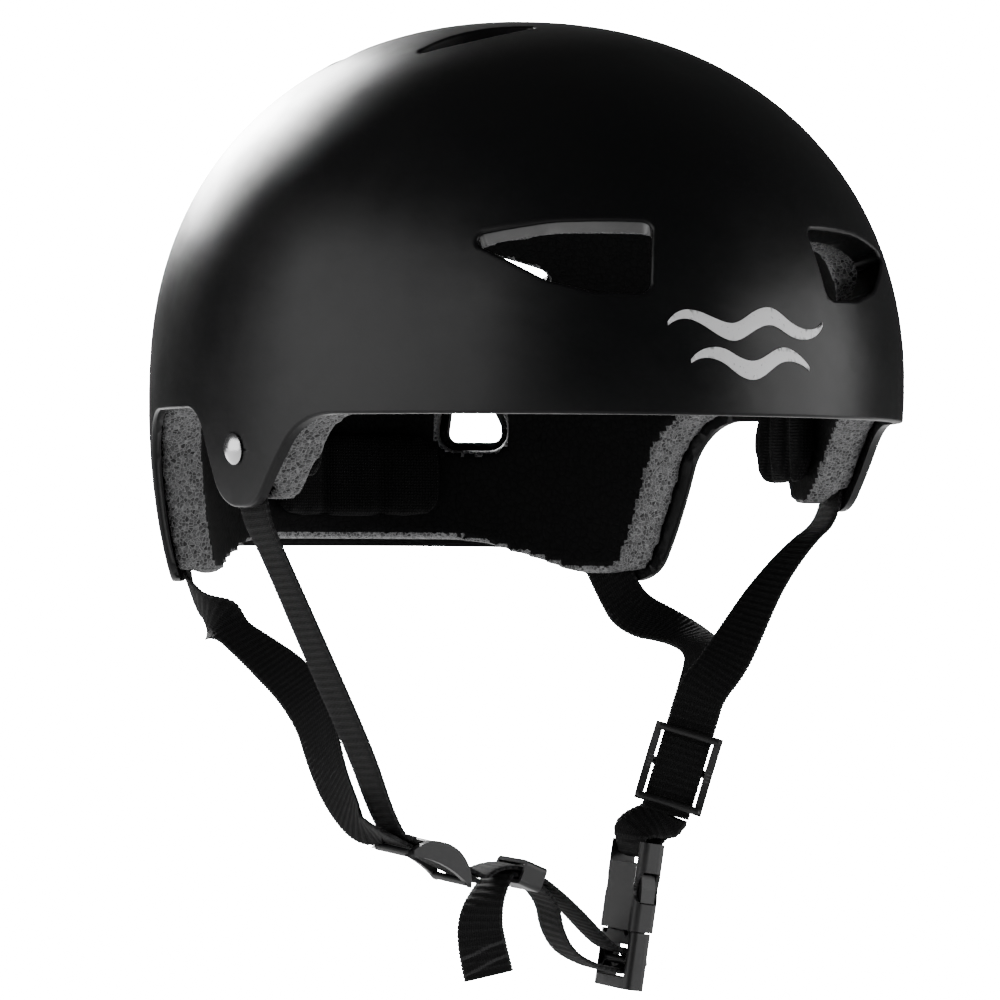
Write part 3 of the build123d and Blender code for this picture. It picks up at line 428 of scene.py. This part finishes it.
# ------------------------------------------------------------------ outer shell
# One injection moulding of black plastic, three millimetres thick, with a satin, finely
# grained outside. Its vents are moulded through with collars turned inward.
grain = bpy.data.node_groups.new("moulded_grain", "ShaderNodeTree")
for socket, value in (("Grain", 1500.0), ("Depth", 0.00004), ("Roughness Low", 0.3), ("Roughness High", 0.4)):
    grain.interface.new_socket(socket, in_out="INPUT", socket_type="NodeSocketFloat").default_value = value
grain.interface.new_socket("Roughness", in_out="OUTPUT", socket_type="NodeSocketFloat")
grain.interface.new_socket("Wear", in_out="OUTPUT", socket_type="NodeSocketFloat")
grain.interface.new_socket("Normal", in_out="OUTPUT", socket_type="NodeSocketVector")
asked = grain.nodes.new("NodeGroupInput")
given = grain.nodes.new("NodeGroupOutput")
place = grain.nodes.new("ShaderNodeTexCoord")
pebble = grain.nodes.new("ShaderNodeTexNoise")
pebble.inputs["Detail"].default_value = 3
handling = grain.nodes.new("ShaderNodeTexNoise")
handling.inputs["Scale"].default_value = 38
handling.inputs["Detail"].default_value = 6
handling.inputs["Roughness"].default_value = 0.62
spread = grain.nodes.new("ShaderNodeMapRange")
spread.inputs["From Min"].default_value = 0.3
spread.inputs["From Max"].default_value = 0.7
pebble_bump = grain.nodes.new("ShaderNodeBump")
pebble_bump.inputs["Strength"].default_value = 0.5
shape = grain.nodes.new("ShaderNodeNewGeometry")
corners = grain.nodes.new("ShaderNodeMapRange")
corners.inputs["From Min"].default_value = 0.515
corners.inputs["From Max"].default_value = 0.60
rubbed = grain.nodes.new("ShaderNodeMath")
rubbed.operation = "MULTIPLY"
grain.links.new(place.outputs["Object"], pebble.inputs["Vector"])
grain.links.new(place.outputs["Object"], handling.inputs["Vector"])
grain.links.new(asked.outputs["Grain"], pebble.inputs["Scale"])
grain.links.new(pebble.outputs["Fac"], pebble_bump.inputs["Height"])
grain.links.new(asked.outputs["Depth"], pebble_bump.inputs["Distance"])
grain.links.new(handling.outputs["Fac"], spread.inputs["Value"])
grain.links.new(asked.outputs["Roughness Low"], spread.inputs["To Min"])
grain.links.new(asked.outputs["Roughness High"], spread.inputs["To Max"])
grain.links.new(shape.outputs["Pointiness"], corners.inputs["Value"])
grain.links.new(corners.outputs["Result"], rubbed.inputs[0])
grain.links.new(handling.outputs["Fac"], rubbed.inputs[1])
grain.links.new(spread.outputs["Result"], given.inputs["Roughness"])
grain.links.new(rubbed.outputs["Value"], given.inputs["Wear"])
grain.links.new(pebble_bump.outputs["Normal"], given.inputs["Normal"])


def moulded(name, base, rubbed_colour, size, depth, low, high):
    """Moulded plastic with a fine grain, a little paler where its corners are rubbed."""
    look = bpy.data.materials.new(name)
    look.use_nodes = True
    tree = look.node_tree
    skin = tree.nodes["Principled BSDF"]
    texture = tree.nodes.new("ShaderNodeGroup")
    texture.node_tree = grain
    texture.inputs["Grain"].default_value = size
    texture.inputs["Depth"].default_value = depth
    texture.inputs["Roughness Low"].default_value = low
    texture.inputs["Roughness High"].default_value = high
    colour = tree.nodes.new("ShaderNodeMix")
    colour.data_type = "RGBA"
    colour.inputs["A"].default_value = base
    colour.inputs["B"].default_value = rubbed_colour
    tree.links.new(texture.outputs["Wear"], colour.inputs["Factor"])
    tree.links.new(colour.outputs["Result"], skin.inputs["Base Color"])
    tree.links.new(texture.outputs["Roughness"], skin.inputs["Roughness"])
    tree.links.new(texture.outputs["Normal"], skin.inputs["Normal"])
    return look


def whole_skin(node, name, look, smooth=30):
    """The part's skin in one piece, so that it can be shaded as smooth as it is moulded."""
    piece = bpy.data.objects.new(name, nodes[node].data.copy())
    bpy.context.scene.collection.objects.link(piece)
    bpy.ops.object.select_all(action="DESELECT")
    piece.select_set(True)
    bpy.context.view_layer.objects.active = piece
    bpy.ops.object.mode_set(mode="EDIT")
    bpy.ops.mesh.select_all(action="SELECT")
    bpy.ops.mesh.remove_doubles(threshold=0.000002)
    bpy.ops.object.mode_set(mode="OBJECT")
    bpy.ops.object.shade_smooth_by_angle(angle=math.radians(smooth))
    bpy.ops.object.modifier_add(type="WEIGHTED_NORMAL")
    piece.modifiers[-1].keep_sharp = True
    bpy.ops.object.modifier_apply(modifier=piece.modifiers[-1].name)
    piece.data.materials.clear()
    piece.data.materials.append(look)
    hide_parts(node)
    return piece


shell_look = moulded("shell_satin_black", (0.0045, 0.0045, 0.005, 1), (0.008, 0.008, 0.0085, 1),
                     2600, 0.000035, 0.30, 0.40)
shell_look.node_tree.nodes["Principled BSDF"].inputs["Specular IOR Level"].default_value = 0.28
shell = whole_skin("outer_shell", "shell_moulding", shell_look)
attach(shell, "helmet")

# ------------------------------------------------------------------ foam liner
# Moulded from expanded foam beads, thirteen millimetres thick, and pressed up inside the
# shell. Its cut lower edge shows the beads as a mosaic of small pale-rimmed cells; the two faces
# moulded against the tool have a closed skin, coloured nearly black as painted shade for the inside.
foam_look = bpy.data.materials.new("bead_foam_charcoal")
foam_look.use_nodes = True
tree = foam_look.node_tree
surface = tree.nodes["Principled BSDF"]
place = tree.nodes.new("ShaderNodeTexCoord")
warble = tree.nodes.new("ShaderNodeTexNoise")
warble.inputs["Scale"].default_value = 300
beads = tree.nodes.new("ShaderNodeTexVoronoi")
beads.feature = "DISTANCE_TO_EDGE"
beads.inputs["Scale"].default_value = 820
bead_tones = tree.nodes.new("ShaderNodeTexVoronoi")
bead_tones.inputs["Scale"].default_value = 820
specks = tree.nodes.new("ShaderNodeTexNoise")
specks.inputs["Scale"].default_value = 2400
specks.inputs["Detail"].default_value = 5
tone = tree.nodes.new("ShaderNodeSeparateColor")
tone_and_speck = tree.nodes.new("ShaderNodeMath")
tone_and_speck.operation = "MULTIPLY"
bead_colour = tree.nodes.new("ShaderNodeValToRGB")
bead_colour.color_ramp.elements[0].color = (0.004, 0.004, 0.0045, 1)
bead_colour.color_ramp.elements[1].color = (0.22, 0.22, 0.225, 1)
bead_colour.color_ramp.elements[1].position = 0.75
rim = tree.nodes.new("ShaderNodeMapRange")
rim.inputs["From Min"].default_value = 0.0
rim.inputs["From Max"].default_value = 0.13
rim.inputs["To Min"].default_value = 1
rim.inputs["To Max"].default_value = 0
bead_mix = tree.nodes.new("ShaderNodeMix")
bead_mix.data_type = "RGBA"
bead_mix.inputs["B"].default_value = (0.26, 0.26, 0.265, 1)
bead_height = tree.nodes.new("ShaderNodeMapRange")
bead_height.interpolation_type = "SMOOTHSTEP"
bead_height.inputs["From Max"].default_value = 0.22
bead_bump = tree.nodes.new("ShaderNodeBump")
bead_bump.inputs["Distance"].default_value = 0.00035
bead_bump.inputs["Strength"].default_value = 0.7
speck_bump = tree.nodes.new("ShaderNodeBump")
speck_bump.inputs["Distance"].default_value = 0.00008
speck_bump.inputs["Strength"].default_value = 0.6
tree.links.new(place.outputs["Object"], beads.inputs["Vector"])
tree.links.new(place.outputs["Object"], bead_tones.inputs["Vector"])
tree.links.new(place.outputs["Object"], specks.inputs["Vector"])
tree.links.new(bead_tones.outputs["Color"], tone.inputs["Color"])
tree.links.new(tone.outputs["Red"], tone_and_speck.inputs[0])
tree.links.new(specks.outputs["Fac"], tone_and_speck.inputs[1])
tree.links.new(tone_and_speck.outputs["Value"], bead_colour.inputs["Fac"])
tree.links.new(beads.outputs["Distance"], rim.inputs["Value"])
tree.links.new(rim.outputs["Result"], bead_mix.inputs["Factor"])
tree.links.new(bead_colour.outputs["Color"], bead_mix.inputs["A"])
tree.links.new(bead_mix.outputs["Result"], surface.inputs["Base Color"])
tree.links.new(beads.outputs["Distance"], bead_height.inputs["Value"])
tree.links.new(bead_height.outputs["Result"], bead_bump.inputs["Height"])
tree.links.new(specks.outputs["Fac"], speck_bump.inputs["Height"])
tree.links.new(bead_bump.outputs["Normal"], speck_bump.inputs["Normal"])
tree.links.new(speck_bump.outputs["Normal"], surface.inputs["Normal"])
surface.inputs["Roughness"].default_value = 0.62
skin_and_painted_shade_look = bpy.data.materials.new("bead_foam_skin_painted_shade")
skin_and_painted_shade_look.use_nodes = True
tree = skin_and_painted_shade_look.node_tree
surface = tree.nodes["Principled BSDF"]
place = tree.nodes.new("ShaderNodeTexCoord")
closed_beads = tree.nodes.new("ShaderNodeTexVoronoi")
closed_beads.feature = "DISTANCE_TO_EDGE"
closed_beads.inputs["Scale"].default_value = 420
seam = tree.nodes.new("ShaderNodeMapRange")
seam.inputs["From Max"].default_value = 0.12
skin_and_painted_shade_colour = tree.nodes.new("ShaderNodeValToRGB")
# Near black: the closed skin's own dark tone, deepened as painted shade for the inside of the helmet.
skin_and_painted_shade_colour.color_ramp.elements[0].color = (0.0010, 0.0010, 0.0011, 1)
skin_and_painted_shade_colour.color_ramp.elements[1].color = (0.0035, 0.0035, 0.0037, 1)
skin_bump = tree.nodes.new("ShaderNodeBump")
skin_bump.inputs["Distance"].default_value = 0.0001
skin_bump.inputs["Strength"].default_value = 0.5
tree.links.new(place.outputs["Object"], closed_beads.inputs["Vector"])
tree.links.new(closed_beads.outputs["Distance"], seam.inputs["Value"])
tree.links.new(seam.outputs["Result"], skin_and_painted_shade_colour.inputs["Fac"])
tree.links.new(seam.outputs["Result"], skin_bump.inputs["Height"])
tree.links.new(skin_and_painted_shade_colour.outputs["Color"], surface.inputs["Base Color"])
tree.links.new(skin_bump.outputs["Normal"], surface.inputs["Normal"])
surface.inputs["Roughness"].default_value = 0.7
surface.inputs["Specular IOR Level"].default_value = 0.12
liner = whole_skin("foam_liner", "liner_foam", foam_look, 35)
bpy.ops.object.modifier_add(type="REMESH")
rounding = liner.modifiers[-1]
rounding.mode = "VOXEL"
rounding.voxel_size = 0.0017
bpy.ops.object.modifier_apply(modifier=rounding.name)
bpy.ops.object.modifier_add(type="SMOOTH")
rounding = liner.modifiers[-1]
rounding.factor = 0.5
rounding.iterations = 4
bpy.ops.object.modifier_apply(modifier=rounding.name)
bpy.ops.object.shade_smooth()
# Faces that follow the shell's curve take the skin look, whose near-black colour is partly painted shade.
liner.data.materials.append(skin_and_painted_shade_look)
for face in liner.data.polygons:
    if abs(face.normal.dot(shell_normal(face.center))) > 0.93:
        face.material_index = 1
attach(liner, "helmet")

# ------------------------------------------------------------------ comfort pads
# Soft foam covered in black knitted fabric, stuck inside the liner at the brow, nape, crown and
# temples. The covers are drawn down at sewn channels and swell between them.
cover_look = bpy.data.materials.new("pad_cover_knit")
cover_look.use_nodes = True
tree = cover_look.node_tree
surface = tree.nodes["Principled BSDF"]
place = tree.nodes.new("ShaderNodeTexCoord")
wale = tree.nodes.new("ShaderNodeTexWave")
wale.bands_direction = "X"
wale.inputs["Scale"].default_value = 330
wale.inputs["Distortion"].default_value = 1.5
course = tree.nodes.new("ShaderNodeTexWave")
course.bands_direction = "Z"
course.inputs["Scale"].default_value = 330
course.inputs["Distortion"].default_value = 1.5
stitch = tree.nodes.new("ShaderNodeMath")
stitch.operation = "MULTIPLY"
knit_bump = tree.nodes.new("ShaderNodeBump")
knit_bump.inputs["Distance"].default_value = 0.00025
knit_colour = tree.nodes.new("ShaderNodeValToRGB")
knit_colour.color_ramp.elements[0].color = (0.0015, 0.0015, 0.0016, 1)
knit_colour.color_ramp.elements[1].color = (0.006, 0.006, 0.0064, 1)
tree.links.new(place.outputs["Object"], wale.inputs["Vector"])
tree.links.new(place.outputs["Object"], course.inputs["Vector"])
tree.links.new(wale.outputs["Fac"], stitch.inputs[0])
tree.links.new(course.outputs["Fac"], stitch.inputs[1])
tree.links.new(stitch.outputs["Value"], knit_bump.inputs["Height"])
tree.links.new(stitch.outputs["Value"], knit_colour.inputs["Fac"])
tree.links.new(knit_colour.outputs["Color"], surface.inputs["Base Color"])
tree.links.new(knit_bump.outputs["Normal"], surface.inputs["Normal"])
surface.inputs["Roughness"].default_value = 0.85
surface.inputs["Specular IOR Level"].default_value = 0.1
surface.inputs["Sheen Weight"].default_value = 0.02
surface.inputs["Sheen Roughness"].default_value = 0.5


def covered_pad(node, channel_way, channel_middle, channel_pitch, channel_count):
    """A fabric-covered pad, blown up from the space it fills and drawn in at its sewn channels."""
    piece = whole_skin(node, node + "_cover", cover_look)
    bpy.ops.object.mode_set(mode="EDIT")
    bpy.ops.mesh.select_all(action="SELECT")
    bpy.ops.transform.shrink_fatten(value=-0.0012)
    bpy.ops.object.mode_set(mode="OBJECT")
    bpy.ops.object.modifier_add(type="REMESH")
    remesh = piece.modifiers[-1]
    remesh.mode = "VOXEL"
    remesh.voxel_size = 0.0028
    bpy.ops.object.modifier_apply(modifier=remesh.name)
    rest = [v.co.copy() for v in piece.data.vertices]
    bpy.ops.object.modifier_add(type="CLOTH")
    cloth = piece.modifiers[-1]
    cloth.settings.quality = 5
    cloth.settings.use_pressure = True
    cloth.settings.uniform_pressure_force = 4
    cloth.settings.effector_weights.gravity = 0
    cloth.settings.tension_stiffness = 15
    cloth.settings.compression_stiffness = 15
    cloth.point_cache.frame_end = 20
    for moment in range(1, 21):
        bpy.context.scene.frame_set(moment)
    bpy.ops.object.modifier_apply(modifier=cloth.name)
    bpy.context.scene.frame_set(1)
    for vertex, was in zip(piece.data.vertices, rest):
        moved = vertex.co - was
        if moved.length > 0.0014:
            vertex.co = was + moved.normalized() * 0.0014
    bpy.ops.object.modifier_add(type="SUBSURF")
    piece.modifiers[-1].levels = 1
    piece.modifiers[-1].render_levels = 1
    bpy.ops.object.modifier_apply(modifier=piece.modifiers[-1].name)
    for vertex in piece.data.vertices:
        off = vertex.co.dot(Vector(channel_way)) - channel_middle
        nearest = min(abs(off - channel_pitch * (k - (channel_count - 1) / 2)) for k in range(channel_count))
        pull = 0.0016 * math.exp(-(nearest / 0.0022) ** 2)
        inward = shell_normal(vertex.co)
        if vertex.normal.dot(inward) < -0.3:
            vertex.co += inward * pull
    bpy.ops.object.shade_smooth()
    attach(piece, "helmet")
    return piece


covered_pad("brow_pad", (1, 0, 0), 0, 0.0235, 4)
covered_pad("nape_pad", (1, 0, 0), 0, 0.0205, 2)
covered_pad("crown_pad", (0, 1, 0), 0.020, 0.019, 2)
covered_pad("temple_pad_right", (0, 1, 0), -0.017, 0.0135, 2)
covered_pad("temple_pad_left", (0, 1, 0), -0.017, 0.0135, 2)

# ------------------------------------------------------------------ rivets and washers
# Domed stainless rivets, one to each leg of the harness, set through the shell and the webbing
# and clenched over a washer inside. Turned and lightly polished.
steel_look = bpy.data.materials.new("rivet_stainless")
steel_look.use_nodes = True
tree = steel_look.node_tree
surface = tree.nodes["Principled BSDF"]
place = tree.nodes.new("ShaderNodeTexCoord")
scuffs = tree.nodes.new("ShaderNodeTexNoise")
scuffs.inputs["Scale"].default_value = 900
scuffs.inputs["Detail"].default_value = 6
scuff_gloss = tree.nodes.new("ShaderNodeMapRange")
scuff_gloss.inputs["To Min"].default_value = 0.16
scuff_gloss.inputs["To Max"].default_value = 0.34
scuff_bump = tree.nodes.new("ShaderNodeBump")
scuff_bump.inputs["Distance"].default_value = 0.00003
scuff_bump.inputs["Strength"].default_value = 0.35
tree.links.new(place.outputs["Object"], scuffs.inputs["Vector"])
tree.links.new(scuffs.outputs["Fac"], scuff_gloss.inputs["Value"])
tree.links.new(scuff_gloss.outputs["Result"], surface.inputs["Roughness"])
tree.links.new(scuffs.outputs["Fac"], scuff_bump.inputs["Height"])
tree.links.new(scuff_bump.outputs["Normal"], surface.inputs["Normal"])
surface.inputs["Base Color"].default_value = (0.70, 0.70, 0.71, 1)
surface.inputs["Metallic"].default_value = 1
for node in ("temple_rivet_right", "temple_rivet_left", "rear_rivet_right", "rear_rivet_left",
             "temple_washer_right", "temple_washer_left", "rear_washer_right", "rear_washer_left"):
    metal = whole_skin(node, node + "_steel", steel_look, 40)
    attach(metal, "helmet")

# ------------------------------------------------------------------ dividers, keeper and buckle
# Moulded black acetal: a three-bar divider on each side, the keeper on the chin webbing, and
# a side-release buckle in four mouldings. Satin, with corners softened by the mould.
acetal_look = moulded("hardware_acetal_black", (0.004, 0.004, 0.0043, 1), (0.03, 0.03, 0.031, 1),
                      3200, 0.000025, 0.38, 0.48)
for node, body in (("divider_right", "divider_right"), ("divider_left", "divider_left"),
                   ("buckle_socket", "chin_harness"), ("buckle_plug", "buckle_plug"),
                   ("latch_arm_front", "latch_arm_front"), ("latch_arm_back", "latch_arm_back"),
                   ("strap_keeper", "strap_keeper")):
    hardware = whole_skin(node, node + "_moulding", acetal_look, 32)
    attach(hardware, body)

# ------------------------------------------------------------------ wave stripes
# Two wavy stripes in white ink, pad-printed on the left of the brow, with the shell's grain
# showing faintly through and pinholes where the ink missed.
print_look = bpy.data.materials.new("print_white")
print_look.use_nodes = True
tree = print_look.node_tree
surface = tree.nodes["Principled BSDF"]
place = tree.nodes.new("ShaderNodeTexCoord")
ink = tree.nodes.new("ShaderNodeTexNoise")
ink.inputs["Scale"].default_value = 1300
ink.inputs["Detail"].default_value = 4
ink_colour = tree.nodes.new("ShaderNodeValToRGB")
ink_colour.color_ramp.elements[0].position = 0.22
ink_colour.color_ramp.elements[0].color = (0.25, 0.25, 0.26, 1)
ink_colour.color_ramp.elements[1].position = 0.36
ink_colour.color_ramp.elements[1].color = (0.90, 0.90, 0.91, 1)
ink_bump = tree.nodes.new("ShaderNodeBump")
ink_bump.inputs["Distance"].default_value = 0.00003
ink_bump.inputs["Strength"].default_value = 0.5
tree.links.new(place.outputs["Object"], ink.inputs["Vector"])
tree.links.new(ink.outputs["Fac"], ink_colour.inputs["Fac"])
tree.links.new(ink.outputs["Fac"], ink_bump.inputs["Height"])
tree.links.new(ink_colour.outputs["Color"], surface.inputs["Base Color"])
tree.links.new(ink_bump.outputs["Normal"], surface.inputs["Normal"])
surface.inputs["Roughness"].default_value = 0.42
for node in ("decal_wave_upper", "decal_wave_lower"):
    stripe = whole_skin(node, node + "_ink", print_look, 60)
    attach(stripe, "helmet")

# ------------------------------------------------------------------ floor and studio light
# A plain white table under the harness, a bright soft box high behind the left shoulder, a wide
# dim one on the left and a small one behind on the right, in a dark room with a white backdrop.
bpy.ops.object.select_all(action="DESELECT")
bpy.ops.mesh.primitive_circle_add(vertices=96, radius=7, fill_type="NGON", location=(0, 0, -0.190))
table_top = bpy.context.object
table_top.name = "table_top"
table_look = bpy.data.materials.new("table_white")
table_look.use_nodes = True
tree = table_look.node_tree
tree.nodes["Principled BSDF"].inputs["Base Color"].default_value = (0.90, 0.90, 0.90, 1)
tree.nodes["Principled BSDF"].inputs["Roughness"].default_value = 0.7
blown_out = tree.nodes.new("ShaderNodeEmission")
blown_out.inputs["Strength"].default_value = 30
ray_kind = tree.nodes.new("ShaderNodeLightPath")
seen = tree.nodes.new("ShaderNodeMixShader")
tree.links.new(ray_kind.outputs["Is Camera Ray"], seen.inputs["Fac"])
tree.links.new(tree.nodes["Principled BSDF"].outputs["BSDF"], seen.inputs[1])
tree.links.new(blown_out.outputs["Emission"], seen.inputs[2])
tree.links.new(seen.outputs["Shader"], tree.nodes["Material Output"].inputs["Surface"])
table_top.data.materials.append(table_look)

room = bpy.data.worlds.new("studio")
bpy.context.scene.world = room
room.use_nodes = True
tree = room.node_tree
dim_walls = tree.nodes["Background"]
dim_walls.inputs["Color"].default_value = (1, 1, 1, 1)
dim_walls.inputs["Strength"].default_value = 0.05
backdrop = tree.nodes.new("ShaderNodeBackground")
backdrop.inputs["Color"].default_value = (1, 1, 1, 1)
backdrop.inputs["Strength"].default_value = 30
ray_kind = tree.nodes.new("ShaderNodeLightPath")
seen = tree.nodes.new("ShaderNodeMixShader")
tree.links.new(ray_kind.outputs["Is Camera Ray"], seen.inputs["Fac"])
tree.links.new(dim_walls.outputs["Background"], seen.inputs[1])
tree.links.new(backdrop.outputs["Background"], seen.inputs[2])
tree.links.new(seen.outputs["Shader"], tree.nodes["World Output"].inputs["Surface"])


def soft_box(name, across, up, toward, width, power):
    """Square area light aimed at the helmet, placed across, up and toward the camera from it."""
    bpy.ops.object.light_add(type="AREA", location=look_at + view_side * across + view_back * toward + Vector((0, 0, up)))
    lamp = bpy.context.object
    lamp.name = name
    lamp.data.size = width
    lamp.data.energy = power
    lamp.rotation_euler = (look_at - lamp.location).to_track_quat("-Z", "Y").to_euler()


soft_box("rim_soft_box", -0.45, 0.50, -1.00, 0.34, 30)
soft_box("left_soft_box", -1.00, 0.05, 0.50, 1.50, 16)
soft_box("right_soft_box", 1.05, -0.05, 0.20, 1.10, 13)

# ------------------------------------------------------------------ finish
bpy.context.view_layer.update()
